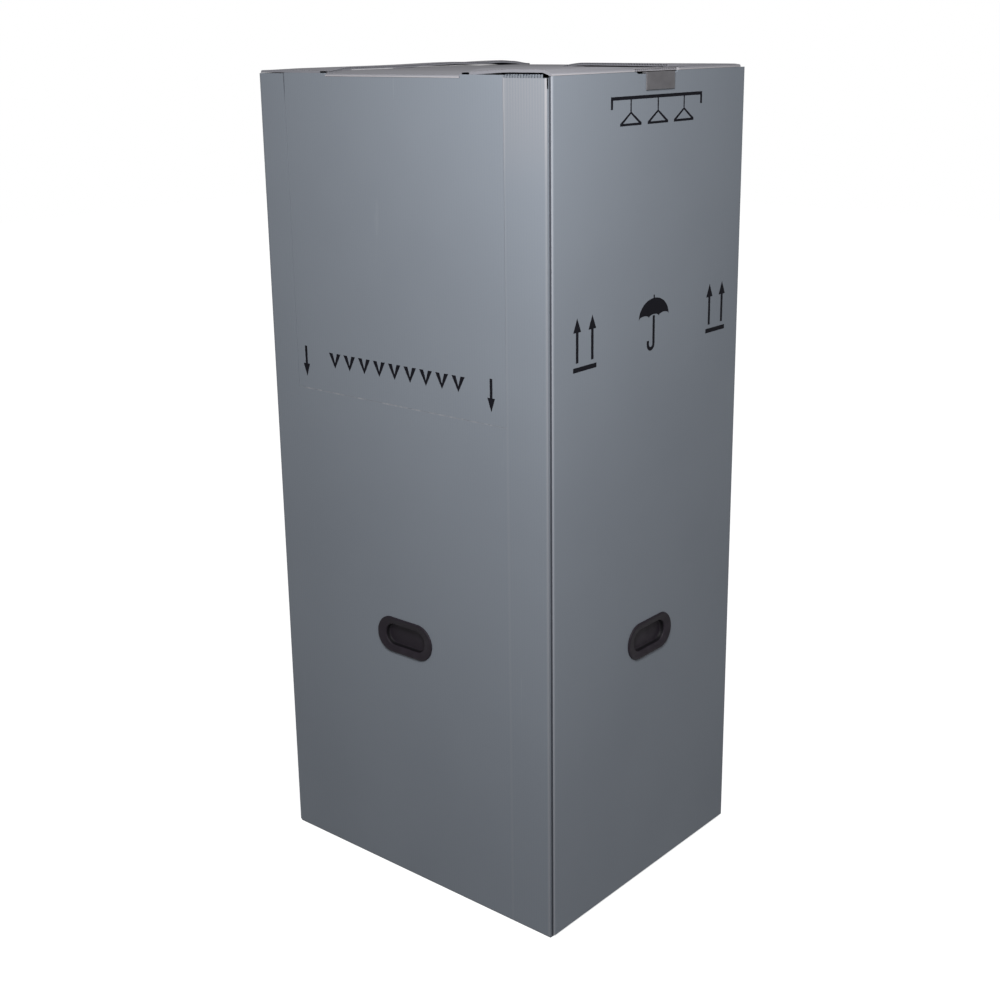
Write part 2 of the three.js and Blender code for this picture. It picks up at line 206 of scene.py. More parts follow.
paper = Finish("white_paper")
path_seen = paper.node("ShaderNodeLightPath")
path_outs = path_seen.socket.node.outputs
seen = Socket(paper, path_outs["Is Camera Ray"]) + Socket(paper, path_outs["Is Glossy Ray"]) * PAPER_SHINE
seen = (seen + Socket(paper, path_outs["Is Transmission Ray"])).upto(1.0)
lit = paper.node("ShaderNodeBsdfDiffuse", inputs={"Color": paper.mix(seen, PAPER_BOUNCE, PAPER_SEEN)})
glow = paper.node("ShaderNodeEmission", inputs={"Color": WHITE, "Strength": seen * PAPER_LIFT})
paper.output(paper.node("ShaderNodeAddShader", inputs=[lit, glow]))
paper_corners = [(x * PAPER_REACH, y * PAPER_REACH, 0) for x, y in ((-1, -1), (1, -1), (1, 1), (-1, 1))]
floor = flat_mesh("paper_floor", paper_corners)
floor.data.materials.append(paper.material)

ROOM_LIGHT = 0.31
room = bpy.data.worlds.new("studio_room")
scene.world = room
room.use_nodes = True
room_nodes = room.node_tree.nodes
room_links = room.node_tree.links
room_back = room_nodes["Background"]
room_path = room_nodes.new("ShaderNodeLightPath")
room_seen = room_nodes.new("ShaderNodeMath")
room_seen.operation = "MAXIMUM"
room_links.new(room_path.outputs["Is Camera Ray"], room_seen.inputs[0])
room_links.new(room_path.outputs["Is Transmission Ray"], room_seen.inputs[1])
room_level = room_nodes.new("ShaderNodeMapRange")
room_links.new(room_seen.outputs[0], room_level.inputs["Value"])
room_level.inputs["To Min"].default_value = ROOM_LIGHT
room_level.inputs["To Max"].default_value = 1.0
room_links.new(room_level.outputs[0], room_back.inputs["Strength"])
room_back.inputs["Color"].default_value = WHITE


def soft_box(name, place, target, side, watts, colour=(1.0, 1.0, 1.0)):
    """A square soft box at place that faces target."""
    light = bpy.data.lights.new(name, "AREA")
    light.shape = "RECTANGLE"
    light.size = side
    light.size_y = side
    light.energy = watts
    light.color = colour
    piece = bpy.data.objects.new(name, light)
    piece.matrix_world = aimed(Vector(place), Vector(target))
    scene.collection.objects.link(piece)


soft_box("key_box", place=(0.956, -1.096, 1.805), target=(0.0, 0.0, 0.72), side=0.5, watts=25)
soft_box("top_box", place=(0.0, 0.3, 3.4), target=(0.0, 0.0, 1.3), side=2.0, watts=1.5,
         colour=(1.0, 0.90, 0.87))


# The board
# Extruded polypropylene, 4 mm thick: two liners joined by an upright web every 5 mm. Every panel below is one
# closed sheet of it: a grid for each liner, cut sides, and open cells at an end that shows.
MM = 0.001
BOARD = 4 * MM
CELL = 5 * MM
WEB = 0.5 * MM
LINER_SHARE = 0.13
LEVELS = np.array([0.0, LINER_SHARE, 1 - LINER_SHARE, 1.0])
CELL_DEPTH = 14 * MM
HALF_WIDTH = 300 * MM
HALF_DEPTH = 255 * MM
RIM = 1352 * MM
DOOR_TOP = 1347.7 * MM
FOLD = 4.4 * MM
CREASE_GAP = 0.3 * MM
HAIR = 0.004 * MM
WELDS_PER_METRE = 2e6


def grid_faces(rows, columns, start, keep=None):
    """Four-cornered faces of a grid stored row by row from number start. Keep is a mask, one per face."""
    corner = np.arange(rows - 1)[:, None] * columns + np.arange(columns - 1)[None, :] + start
    faces = np.stack([corner, corner + 1, corner + columns + 1, corner + columns], -1)
    if keep is None:
        return faces.reshape(-1, 4)
    return faces[np.broadcast_to(keep, corner.shape)]


class Shell:
    """Collects grids of points and welds them into one mesh. The mesh carries, for each point, how far it is
    across the flutes and down them."""

    def __init__(self):
        self.points = []
        self.across = []
        self.down = []
        self.faces = []
        self.count = 0

    def grid(self, points, across, down, keep=None):
        """Points has shape (rows, columns, 3). Across and down are distances over and along the flutes."""
        rows, columns = points.shape[:2]
        self.points.append(points.reshape(-1, 3))
        self.across.append(np.broadcast_to(across, (rows, columns)).ravel())
        self.down.append(np.broadcast_to(down, (rows, columns)).ravel())
        self.faces.append(grid_faces(rows, columns, self.count, keep))
        self.count += rows * columns

    def mesh(self, name, crease_degrees=32.0):
        """Welds points that coincide, turns all faces outwards and smooths all but sharp edges."""
        points = np.concatenate(self.points)
        _, first, number = np.unique(np.round(points * WELDS_PER_METRE).astype(np.int64), axis=0,
                                     return_index=True, return_inverse=True)
        faces = number.reshape(-1)[np.concatenate(self.faces)]
        ring = np.concatenate([faces, faces[:, :1]], 1)
        steps = np.diff(ring, axis=1) != 0
        whole = faces[steps.all(1)]
        threes = faces[steps.sum(1) == 3]
        kept = steps[steps.sum(1) == 3]
        triangles = threes[kept].reshape(-1, 3)
        mesh = bpy.data.meshes.new(name)
        mesh.from_pydata(points[first], [], whole.tolist() + triangles.tolist())
        for label, values in (("across", self.across), ("down", self.down)):
            layer = mesh.attributes.new(label, "FLOAT", "POINT")
            layer.data.foreach_set("value", np.concatenate(values)[first].astype(np.float32))
        work = bmesh.new()
        work.from_mesh(mesh)
        bmesh.ops.recalc_face_normals(work, faces=work.faces)
        work.to_mesh(mesh)
        work.free()
        mesh.shade_smooth()
        mesh.set_sharp_from_angle(angle=math.radians(crease_degrees))
        return mesh


def flute_lines(start, end):
    """The two edges of every web between start and end, with both ends, and a mask of the columns that
    are cells."""
    middles = np.arange(math.ceil((start + WEB) / CELL), math.floor((end - WEB) / CELL) + 1) * CELL
    edges = np.stack([middles - WEB / 2, middles + WEB / 2], -1).ravel()
    lines = np.concatenate([[start], edges, [end]])
    cells = np.zeros(len(lines) - 1, bool)
    cells[0::2] = True
    cells[[0, -1]] = np.diff(lines)[[0, -1]] > 3 * WEB
    return lines, cells


def cell_columns(lines):
    """The middles of the columns between the lines, and a mask of those that are cells, not webs or hairs."""
    middles = (lines[1:] + lines[:-1]) / 2
    beside_web = np.abs((middles + CELL / 2) % CELL - CELL / 2) > WEB / 2
    return middles, beside_web & (np.diff(lines) > 10 * HAIR)


def sheet(shell, down, lines, cells, place, open_end=True, open_root=False):
    """One board: place(d, a, w) gives points at distance d down the flutes, a over them, and share w of the
    thickness, 0 on the inner liner and 1 on the outer. Liners are the grids w = 0 and w = 1, the sides and
    ends are grids over w, and each open cell is a well of four walls and a floor CELL_DEPTH down."""
    for level in (0.0, 1.0):
        d, a = np.meshgrid(down, lines, indexing="ij")
        shell.grid(place(d, a, np.full_like(d, level)), a, d)
    for side in (0, -1):
        d, w = np.meshgrid(down, LEVELS, indexing="ij")
        a = np.full_like(d, lines[side])
        shell.grid(place(d, a, w), a, d)
    for end, is_open, inward in ((0, open_root, 1), (-1, open_end, -1)):
        wells = cells & is_open
        w, a = np.meshgrid(LEVELS, lines, indexing="ij")
        d = np.full_like(a, down[end])
        keep = np.ones((3, len(lines) - 1), bool)
        keep[1] = ~wells
        shell.grid(place(d, a, w), a, d, keep)
        floor_at = down[end] + inward * CELL_DEPTH
        for level in (1, 2):
            d, a = np.meshgrid([down[end], floor_at], lines, indexing="ij")
            shell.grid(place(d, a, np.full_like(d, LEVELS[level])), a, d, wells[None, :])
        w, a = np.meshgrid(LEVELS[1:3], lines, indexing="ij")
        d = np.full_like(a, floor_at)
        shell.grid(place(d, a, w), a, d, wells[None, :])
        for left in np.flatnonzero(wells):
            for line in (left, left + 1):
                d, w = np.meshgrid([down[end], floor_at], LEVELS[1:3], indexing="ij")
                a = np.full_like(d, lines[line])
                shell.grid(place(d, a, w), a, d)


def new_piece(name, mesh, material, body):
    """An object for the mesh, with its material, that rides on the body."""
    piece = bpy.data.objects.new(name, mesh)
    scene.collection.objects.link(piece)
    mesh.materials.append(material)
    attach(piece, body)
    return piece


def smooth(low, high, at):
    """0 below low and 1 above high, eased between them."""
    t = np.clip((at - low) / (high - low), 0.0, 1.0)
    return t * t * (3 - 2 * t)


def stack(x, y, z):
    """Points with these coordinates, each an array or a number."""
    return np.stack(np.broadcast_arrays(x, y, z), -1)


BOARD_GREY = (0.245, 0.272, 0.312)
BOARD_DARK = (0.225, 0.250, 0.288)
# Painted shade inside open cells, and the pale grey of scuffs, which also serves as painted light on torn
# webs.
CELL_SHADE = (0.050, 0.058, 0.075)
SCUFF_AND_WEB_LIGHT = (0.40, 0.43, 0.47)
# A pale grey for stress-whitened board, used also for painted highlights on edges, folds and creases.
WHITENING_AND_HIGHLIGHT = (0.66, 0.63, 0.64)


def board_finish(name, marks, lit_tint=(1.0, 1.0, 1.0), sheen=0.46):
    """Grey board: each web shows as a faint upright line, the liner between sinks by a few hundredths of
    a millimetre, and handling leaves pale scuffs. Marks adds what belongs to one kind of panel."""
    finish = Finish(name)
    place = finish.place()
    point = place[3]
    over = finish.attribute("across")
    on_web = over.wrapped(CELL).ramp(1.1 * MM, 0.1 * MM)
    cloud = finish.noise(point, 3.2, 3.0)
    fine = finish.noise(point, 420.0, 2.0, (1.0, 1.0, 0.12))
    # A lit tint other than white makes a painted light copy of the board colour.
    dark = tuple(a * b for a, b in zip(BOARD_DARK, lit_tint))
    light = tuple(a * b for a, b in zip(BOARD_GREY, lit_tint))
    colour = finish.mix(on_web * 0.35 + cloud.ramp(0.35, 0.7) * 0.5, light, dark)
    scratch = finish.noise(point, 60.0, 4.0, (1.0, 1.0, 0.08)).ramp(0.70, 0.80)
    colour = marks(finish, place, finish.mix(scratch * 0.12, colour, SCUFF_AND_WEB_LIGHT))
    rough = sheen + cloud * 0.10 + fine * 0.05
    ripple = finish.bump(on_web, 0.30, 0.05 * MM)
    wave = finish.bump(finish.noise(point, 7.0, 1.0), 0.10, 6 * MM, ripple)
    grain = finish.bump(fine, 0.06, 0.05 * MM, wave)
    return finish.surface(Base_Color=colour, Roughness=rough, Normal=grain, Specular_IOR_Level=0.25)


# The walls
# One die-cut sheet, scored and folded round three corners. At the near corner it ends in a tab that is
# glued behind the strip beside the door. Notches for the rail are cut in the creases of the side walls.
WALL_FOOT = 4.3 * MM
SILL = 841 * MM
SIDE_TOP = 1351.7 * MM
DOOR_LEFT = -240 * MM
DOOR_RIGHT = 216.5 * MM
STRIP_END = 295.5 * MM
STRIP_TOP = 1349 * MM
TAB_FACE = -249.8 * MM
TAB_START = 255 * MM
NOTCH_CENTRE = 5.5 * MM
NOTCH_TOP = 133 * MM
NOTCH_FLOOR = 101 * MM
NOTCH_DEPTH = 3.4 * MM
GRIP_HEIGHT = 443 * MM
GRIP_HOLE_LENGTH = 95 * MM
GRIP_HOLE_TALL = 45 * MM
GRIP_X_FRONT = -10 * MM
GRIP_Y_SIDE = 7 * MM
GRIP_X_BACK = 0.0
# Below: the colour and heights of a painted sheen on the strip beside the door, the colour of painted shade
# in gaps, and the heights of the painted shade in the door's left cut.
SHEEN_PALE = (0.288, 0.298, 0.326)
GAP_SHADE = (0.035, 0.037, 0.048)
SHEEN_FROM = 1170 * MM
SHEEN_TO = 1345 * MM
CUT_SHADE_FROM = 1300 * MM
CUT_SHADE_TO = 1343 * MM


def wall_marks(finish, place, colour):
    """The strip beside the door has a painted sheen, paler towards its top with darker webs, and is whitened
    along its two edges, with a painted highlight that grows towards the top. Painted shade lies in the gap
    before the folded edge behind it, with a painted highlight along that fold, and in the top of the cut at
    the door's left side. The crease of the sill is a faint light line."""
    x, y, z, point = place
    outside = y.ramp(-HALF_DEPTH + 1.5 * MM, -HALF_DEPTH + 0.5 * MM)
    strip = outside * x.ramp(DOOR_RIGHT - 1 * MM, DOOR_RIGHT + 1 * MM)
    # Painted sheen: the strip is painted paler towards its top, and its webs stay darker in it.
    high = z.ramp(SHEEN_FROM, SHEEN_TO)
    colour = finish.mix(strip * high * 0.85, colour, SHEEN_PALE)
    web = x.wrapped(CELL).ramp(1.6 * MM, 0.4 * MM)
    colour = finish.mix(strip * high * web * 0.45, colour, BOARD_DARK)
    # Both cut sides of the strip are whitened, plus a painted highlight that grows towards the top.
    cut_side = strip * x.ramp(DOOR_RIGHT + 5.5 * MM, DOOR_RIGHT + 0.5 * MM) * (high * 0.20 + 0.05)
    free_side = strip * x.ramp(STRIP_END - 5 * MM, STRIP_END - 2 * MM) * (high * 0.25 + 0.12)
    colour = finish.mix(cut_side + free_side, colour, WHITENING_AND_HIGHLIGHT)

    # Painted shade in the narrow gap in front of the folded edge behind the strip.
    behind_strip = x.ramp(STRIP_END - 0.5 * MM, STRIP_END + 0.1 * MM)
    seam_shade = behind_strip * y.ramp(TAB_FACE - 1 * MM, TAB_FACE - 0.5 * MM)
    seam_shade = seam_shade * y.ramp(TAB_FACE + 1.2 * MM, TAB_FACE + 0.5 * MM)
    colour = finish.mix(seam_shade * 0.92, colour, GAP_SHADE)
    # Painted highlight along the rounded fold of the right wall beside that gap.
    folded = x.ramp(HALF_WIDTH - 2.2 * MM, HALF_WIDTH - 1.2 * MM)
    folded = folded * y.ramp(TAB_FACE + 3.4 * MM, TAB_FACE + 2.4 * MM)
    colour = finish.mix(folded * 0.16, colour, WHITENING_AND_HIGHLIGHT)

    # Painted shade in the cut at the door's left side, towards its top.
    cut = outside * x.far_from(DOOR_LEFT).ramp(1.6 * MM, 0.5 * MM) * z.ramp(CUT_SHADE_FROM, CUT_SHADE_TO)
    colour = finish.mix(cut * 0.6, colour, GAP_SHADE)
    sill = outside * z.far_from(SILL).ramp(1.5 * MM, 0.4 * MM)
    sill = sill * x.ramp(DOOR_RIGHT + 0.5 * MM, DOOR_RIGHT - 0.5 * MM)
    sill = sill * x.ramp(DOOR_LEFT - 0.5 * MM, DOOR_LEFT + 0.5 * MM)
    dotted = finish.noise(point, 90.0, 2.0).ramp(0.42, 0.70)
    return finish.mix(sill * (dotted * 0.30 + 0.06), colour, WHITENING_AND_HIGHLIGHT)


wall_finish = board_finish("grey_board_wall", wall_marks)


def wall_path():
    """The outer face in plan as corner points with a quarter circle of radius FOLD at each fold.
    Returns, for distances c along it, the point and the outward normal."""
    corners = np.array([(TAB_START, TAB_FACE), (HALF_WIDTH, TAB_FACE), (HALF_WIDTH, HALF_DEPTH),
                        (-HALF_WIDTH, HALF_DEPTH), (-HALF_WIDTH, -HALF_DEPTH), (STRIP_END, -HALF_DEPTH)])
    runs = np.diff(corners, axis=0)
    lengths = np.hypot(runs[:, 0], runs[:, 1])
    ways = runs / lengths[:, None]
    trims = np.full((len(runs), 2), FOLD)
    trims[0, 0] = 0.0
    trims[-1, 1] = 0.0
    pieces = []
    start = 0.0
    for i, (way, length) in enumerate(zip(ways, lengths)):
        straight = length - trims[i].sum()
        pieces.append((start, straight, corners[i] + way * trims[i, 0], way, 0.0))
        start += straight
        if i + 1 < len(ways):
            pieces.append((start, FOLD * math.pi / 2, corners[i + 1] - way * FOLD, way, 1.0 / FOLD))
            start += FOLD * math.pi / 2

    def at(c):
        point = np.zeros(c.shape + (2,))
        normal = np.zeros(c.shape + (2,))
        for begin, length, origin, way, bend in pieces:
            inside = (c >= begin) if begin > 0 else np.ones(c.shape, bool)
            t = (c[inside] - begin)[:, None]
            right = np.array([way[1], -way[0]])
            if bend:
                turn = np.clip(t, 0, length) * bend
                point[inside] = origin + FOLD * (np.sin(turn) * way - (1 - np.cos(turn)) * right)
                normal[inside] = np.cos(turn) * right + np.sin(turn) * way
            else:
                point[inside] = origin + way * t
                normal[inside] = right
        return point, normal

    return at, start, pieces


plan_at, plan_length, plan_pieces = wall_path()
straights = [p for p in plan_pieces if p[4] == 0.0]
folds = [p for p in plan_pieces if p[4] != 0.0]


def along(wall, value):
    """The distance along the path at which a straight wall, given by number, has this x or y."""
    begin, _, origin, way, _ = straights[wall]
    axis = int(abs(way[1]) > 0.5)
    return begin + (value - origin[axis]) / way[axis]


TAB, RIGHT, BACK, LEFT, FRONT = range(5)
grip_at = {
    "right": along(RIGHT, GRIP_Y_SIDE),
    "back": along(BACK, GRIP_X_BACK),
    "left": along(LEFT, GRIP_Y_SIDE),
    "front": along(FRONT, GRIP_X_FRONT),
}
notch_at = [along(RIGHT, NOTCH_CENTRE), along(LEFT, NOTCH_CENTRE)]
door_from = along(FRONT, DOOR_LEFT)
door_to = along(FRONT, DOOR_RIGHT)


def hole_reach(c):
    """Half the height of the grip holes at c: a straight stretch with a half circle at each end."""
    reach = np.zeros_like(c)
    radius = GRIP_HOLE_TALL / 2
    flat = (GRIP_HOLE_LENGTH - GRIP_HOLE_TALL) / 2
    for centre in grip_at.values():
        beyond = np.maximum(np.abs(c - centre) - flat, 0.0)
        reach = np.maximum(reach, np.sqrt(np.maximum(radius ** 2 - beyond ** 2, 0.0)))
    return reach


def wall_top(c):
    """The height of the upper edge: the rim, the lower back wall, the strip, the sill, and the notches."""
    back_from, back_to = folds[1][0] + FOLD, folds[2][0] + FOLD / 2
    top = np.full_like(c, SIDE_TOP)
    top[(c > back_from) & (c < back_to)] = DOOR_TOP
    top[c < folds[0][0]] = STRIP_TOP
    top[(c > door_from) & (c < door_to)] = SILL
    top[c >= door_to] = STRIP_TOP
    slope = (NOTCH_TOP - NOTCH_FLOOR) / 2 / (NOTCH_DEPTH + 2 * BOARD)
    for centre in notch_at:
        away = np.abs(c - centre)
        cut = RIM - NOTCH_DEPTH + np.maximum(away - NOTCH_FLOOR / 2, 0.0) / slope
        top = np.minimum(top, cut)
    return top


def wall_lines():
    """Every web edge along the path, with the points of the folds and the ends of the door cut, of the grip
    holes and of the notches. With them comes a mask of the columns that are open cells."""
    lines, _ = flute_lines(0.0, plan_length)
    extra = [door_from, door_from + HAIR, door_to - HAIR, door_to]
    for begin, length, *_ in folds:
        extra += list(np.linspace(begin, begin + length, 7))
    for centre in grip_at.values():
        half = GRIP_HOLE_LENGTH / 2
        extra += list(centre + half * np.cos(np.linspace(0, math.pi, 25)))
    for centre in notch_at:
        extra += [centre - NOTCH_FLOOR / 2, centre + NOTCH_FLOOR / 2]
    lines = np.unique(np.round(np.concatenate([lines, extra]), 7))
    middles, cells = cell_columns(lines)
    for begin, length, *_ in folds:
        cells &= (middles < begin) | (middles > begin + length)
    cells &= (middles < door_from) | (middles > door_to)
    return lines, cells


def wall_shell():
    """The ring of walls: rows run up from the foot to the grip holes and on to the top edge. The rows above
    and below a hole part by twice its reach, and meet again where there is none."""
    shell = Shell()
    lines, cells = wall_lines()
    point, normal = plan_at(lines)
    top = wall_top(lines)
    reach = hole_reach(lines)
    low = GRIP_HEIGHT - reach
    high = GRIP_HEIGHT + reach

    def place(heights, share):
        inner = (1 - share) * BOARD
        xy = point[None] - normal[None] * inner
        return stack(xy[..., 0], xy[..., 1], heights)

    foot = np.full_like(top, WALL_FOOT)
    below = np.stack([foot + (low - foot) * t for t in (0.0, 0.5, 1.0)])
    above = np.stack([high + (top - high) * t for t in (0.0, 0.4, 0.8, 1.0)])
    for rows in (below, above):
        for level in (0.0, 1.0):
            shell.grid(place(rows, level), lines[None], rows)
        for side in (0, -1):
            heights = np.repeat(rows[:, [side]], len(LEVELS), 1)
            xy = point[side][None] - normal[side][None] * ((1 - LEVELS) * BOARD)[:, None]
            shell.grid(stack(xy[None, :, 0], xy[None, :, 1], heights), lines[side], heights)

    def band(heights, keep=None):
        inner = ((1 - LEVELS) * BOARD)[:, None, None]
        xy = point[None] - normal[None] * inner
        shell.grid(stack(xy[..., 0], xy[..., 1], heights[None]), lines[None], heights[None], keep)

    in_hole = (reach[:-1] > 0) | (reach[1:] > 0)
    band(foot)
    band(low, np.broadcast_to(in_hole, (3, len(in_hole))))
    band(high, np.broadcast_to(in_hole, (3, len(in_hole))))
    keep = np.ones((3, len(cells)), bool)
    keep[1] = ~cells
    band(top, keep)
    for level in (1, 2):
        share = LEVELS[level]
        xy = point - normal * (1 - share) * BOARD
        heights = np.stack([top, top - CELL_DEPTH])
        shell.grid(stack(xy[None, :, 0], xy[None, :, 1], heights), lines[None], heights, cells[None])
    xy = point[None] - normal[None] * ((1 - LEVELS[1:3]) * BOARD)[:, None, None]
    shell.grid(stack(xy[..., 0], xy[..., 1], (top - CELL_DEPTH)[None]), lines[None], top[None], cells[None])
    for left in np.flatnonzero(cells):
        for line in (left, left + 1):
            xy = point[line] - normal[line] * ((1 - LEVELS[1:3]) * BOARD)[:, None]
            heights = np.array([[top[line]], [top[line] - CELL_DEPTH]])
            shell.grid(stack(xy[None, :, 0], xy[None, :, 1], heights), lines[line], heights)
    return shell


walls = new_piece("walls", wall_shell().mesh("walls"), wall_finish, "box")
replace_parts(walls, "folded_sheet")


# The torn strip
# The strip's outer liner is torn off above its top edge, so that its inner liner and webs stand bare there.
TORN_FROM = 218.5 * MM
TORN_TO = 286 * MM
TORN_FOOT = 1348 * MM
TORN_TOP = 1354 * MM
TORN_RAGGED = 2.2 * MM


def torn_shading(finish, place, colour):
    """Painted shade: the torn cells are coloured dark as if shaded by the flap, and the torn webs a paler
    grey as painted light.
    """
    x = place[0]
    web = x.wrapped(CELL).ramp(1.2 * MM, 0.3 * MM)
    return finish.mix(web * 0.55, CELL_SHADE, SCUFF_AND_WEB_LIGHT)


def crate(shell, x, y, z):
    """A closed box between the two values in each of x, y and z, as six grids."""
    for axis, spans in enumerate(((y, z), (x, z), (x, y))):
        for value in (x, y, z)[axis]:
            a, b = np.meshgrid(spans[0], spans[1], indexing="ij")
            fixed = np.full_like(a, value)
            points = (stack(fixed, a, b), stack(a, fixed, b), stack(a, b, fixed))[axis]
            shell.grid(points, points[..., 0], points[..., 2])


def torn_cells():
    """The bare inner liner, and a web every CELL along it whose top is torn off at a height of its own."""
    shell = Shell()
    inner = -HALF_DEPTH + BOARD
    liner = LINER_SHARE * BOARD
    crate(shell, np.array([TORN_FROM, TORN_TO]), np.array([inner - liner, inner]),
          np.array([TORN_FOOT, TORN_TOP]))
    webs = np.arange(TORN_FROM + WEB, TORN_TO - WEB, CELL)
    ragged = TORN_RAGGED * np.random.default_rng(7).random(len(webs))
    for x, short in zip(webs, ragged):
        crate(shell, np.array([x, x + WEB]), np.array([inner - BOARD + liner, inner - liner / 2]),
              np.array([TORN_FOOT, TORN_TOP - short]))
    return shell.mesh("torn_cells")


torn_finish = board_finish("grey_board_torn", torn_shading)
new_piece("torn_cells", torn_cells(), torn_finish, "box")


# The bottom flaps
# The side flaps are folded in first and lie inside. The front and back flaps close over them and lie on the
# ground.
FOOT_FOLD = 4.3 * MM
LOW_SPAN = 295 * MM
LOW_REACH = 254.2 * MM
HIGH_SPAN = 246 * MM
HIGH_REACH = 255 * MM


def folded_under(outer, reach, base):
    """A flap that turns a quarter circle of radius FOOT_FOLD from the wall and then runs flat at height base.
    Returns the place function, in the wall's distance from the middle, and the rows down the flap."""
    quarter = FOOT_FOLD * math.pi / 2

    def place(d, a, w):
        turn = np.clip(d / FOOT_FOLD, 0, math.pi / 2)
        flat = np.maximum(d - quarter, 0.0)
        away = outer - FOOT_FOLD * (1 - np.cos(turn)) - flat
        height = base + FOOT_FOLD * (1 - np.sin(turn))
        inner = (1 - w) * BOARD
        return away - np.cos(turn) * inner, a, height + np.sin(turn) * inner

    flat_rows = np.linspace(quarter, quarter + reach - FOOT_FOLD, 6)[1:]
    rows = np.concatenate([np.linspace(0, quarter, 7), flat_rows])
    return place, rows


def bottom_flaps():
    """The two outer flaps, low, on the front and back walls, and the two inner ones above them."""
    shell = Shell()
    for side in (-1, 1):
        place, rows = folded_under(HALF_DEPTH, LOW_REACH, 0.0)
        lines, cells = flute_lines(-LOW_SPAN, LOW_SPAN)

        def low(d, a, w, side=side, place=place):
            away, over, height = place(d, a, w)
            return stack(over, side * away, height)

        sheet(shell, rows, lines, cells, low)
        place, rows = folded_under(HALF_WIDTH, HIGH_REACH, WALL_FOOT)
        lines, cells = flute_lines(-HIGH_SPAN, HIGH_SPAN)

        def high(d, a, w, side=side, place=place):
            away, over, height = place(d, a, w)
            return stack(side * away, over, height)

        sheet(shell, rows, lines, cells, high)
    return shell.mesh("bottom_flaps")


new_piece("bottom_flaps", bottom_flaps(), wall_finish, "box")


# The door
# A panel cut free along its two sides and hinged on the crease along its sill. Its top steps up to a shoulder
# on each side of its own flap.
CUT_LEFT = 0.8 * MM
CUT_RIGHT = 0.12 * MM
DOOR_FOOT = SILL + CREASE_GAP
SHOULDER = 1352.8 * MM
LEFT_REACH = 154 * MM
RIGHT_REACH = 164 * MM
LEFT_EDGE = -HALF_WIDTH + LEFT_REACH
RIGHT_EDGE = HALF_WIDTH - RIGHT_REACH


def door_mesh():
    """Rows run from the sill at d = 0 to the top at d = 1, which is the crease or a shoulder."""
    shell = Shell()
    lines, _ = flute_lines(DOOR_LEFT + CUT_LEFT, DOOR_RIGHT - CUT_RIGHT)
    steps = [LEFT_EDGE, LEFT_EDGE + HAIR, RIGHT_EDGE - HAIR, RIGHT_EDGE]
    lines = np.unique(np.concatenate([lines, steps]))
    cells = np.zeros(len(lines) - 1, bool)

    def place(d, a, w):
        under_flap = (a > LEFT_EDGE + HAIR / 2) & (a < RIGHT_EDGE - HAIR / 2)
        top = np.where(under_flap, DOOR_TOP, SHOULDER)
        return stack(a, -HALF_DEPTH + (1 - w) * BOARD, DOOR_FOOT + (top - DOOR_FOOT) * d)

    sheet(shell, np.linspace(0.0, 1.0, 9), lines, cells, place, open_end=False)
    return shell.mesh("door_board")


door = new_piece("door_board", door_mesh(), wall_finish, "door")
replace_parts(door, "door_panel")


# The top flaps
# Folded down one after the other: the right one, the back one over it, the left one over both. The door's
# own flap lies between the side ones. Each springs up a little from its crease, and its free edge shows
# open cells.
CREASE_ROUND = 3.6 * MM
BACK_REACH = 209 * MM
DOOR_FLAP_REACH = 299.5 * MM
SLOT = 5 * MM
SIDE_FRONT = -HALF_DEPTH + SLOT
SIDE_BACK = HALF_DEPTH - 3 * SLOT
BACK_EDGE = HALF_DEPTH - BACK_REACH
BETWEEN = 1.6 * MM
SIDE_RISE = 4.2 * MM
RISE_REACH = 60 * MM
INSIDE_RISE = 3.2 * MM
TIP_RISE = 0.6 * MM
CURL = 45 * MM
NEAR_SHARE = 0.4
NEAR_CURL = 95 * MM
DOOR_FLAP_RISE = 4 * MM
BACK_LIFT = 5.1 * MM
BACK_LIFT_REACH = 14 * MM
BACK_SPRING = 10.6 * MM
BACK_SAG = 1.6 * MM
PRESSED = 3.6 * MM
EDGE_ARCH = (2.5 * MM, 40 * MM, 62 * MM)
REAR_ARCH = (2.4 * MM, 168 * MM, 30 * MM)
EDGE_RISE = 0.4 * MM
FLAT_FROM = -110 * MM
FLAT_TO = 15 * MM
STEP_REACH = 75 * MM
STEP_MARGIN = 6 * MM
ROOT_CUT = (NOTCH_CENTRE, 59 * MM, 6 * MM)
RAIL_RELIEF = (11.5 * MM, 38.6 * MM, 8 * MM)


def flap_marks(finish, place, colour):
    """Each flap's crease is whitened by folding, and painted lighter as a highlight along its rounded top."""
    crease_whitening_and_highlight = finish.attribute("down").ramp(0.55 * MM, 0.10 * MM)
    return finish.mix(crease_whitening_and_highlight * 0.38, colour, WHITENING_AND_HIGHLIGHT)


# The flaps get a warmer, lighter copy of the board grey: painted light on their upward faces.
flap_finish = board_finish("grey_board_flap", flap_marks, (1.10, 0.99, 0.95))


def arch(at, rise, centre, reach):
    """A low hump, rise high at the centre, that fades over reach on each side."""
    return rise * np.exp(-(((at - centre) / reach) ** 2))


def left_under(d, y):
    """Up by an exponential rise, with two low arches along the free edge and its corners curled down."""
    corner = smooth(0, CURL, y - SIDE_FRONT) * smooth(0, CURL, HALF_DEPTH - SLOT - y)
    edge = smooth(RISE_REACH / 3, LEFT_REACH, d)
    near_end = 1 - smooth(0, CURL, y - SIDE_FRONT)
    far_end = (1 - edge) * (1 - smooth(0, CURL, HALF_DEPTH - SLOT - y))
    ends = 1 - (1 - NEAR_SHARE) * np.maximum(near_end, far_end)
    plateau = SIDE_RISE * ends * (1 - np.exp(-d / RISE_REACH))
    arches = arch(y, *EDGE_ARCH) + arch(y, *REAR_ARCH) + EDGE_RISE
    return plateau * (1 - edge * (1 - corner)) + edge * corner * arches


